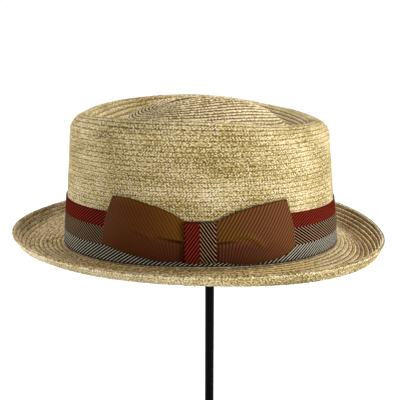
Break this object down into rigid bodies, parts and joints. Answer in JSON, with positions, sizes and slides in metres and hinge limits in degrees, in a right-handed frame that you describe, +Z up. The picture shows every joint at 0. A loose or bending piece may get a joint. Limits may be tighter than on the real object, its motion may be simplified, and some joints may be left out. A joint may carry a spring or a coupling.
{
  "type": "pork pie hat on display stand",
  "caption": "Stingy-brim pork pie hat of sewn straw braid with a striped ribbon band and flat grosgrain bow, resting on a plain black rod stand.",
  "frame": {"origin": "middle of the overall footprint, on the surface that the stand's foot rests on", "axes": "+Z up along the stand's rod; +X towards the back of the hat, -X towards its front; -Y towards its left side, where the bow is"},
  "size_m": [0.2779, 0.2524, 0.3322],
  "materials": {
    "straw_braid": "natural golden wheat straw, plaited and sewn in overlapping rows, satin",
    "striped_ribbon": "twill ribbon in three stripes of rust red, cream and grey lines on black, matte",
    "brown_grosgrain": "brown grosgrain with fine cross ribs and a soft olive-gold sheen",
    "black_steel": "black powder coat, satin",
    "black_plastic": "moulded black plastic, matte"
  },
  "bodies": {
    "root": {"straw_body": "straw_braid", "hat_band": "striped_ribbon", "bow_front_wing": "brown_grosgrain", "bow_back_wing": "brown_grosgrain", "bow_knot": "striped_ribbon", "stand_foot": "black_steel", "stand_rod": "black_steel", "stand_rest": "black_plastic"}
  },
  "joints": []
}
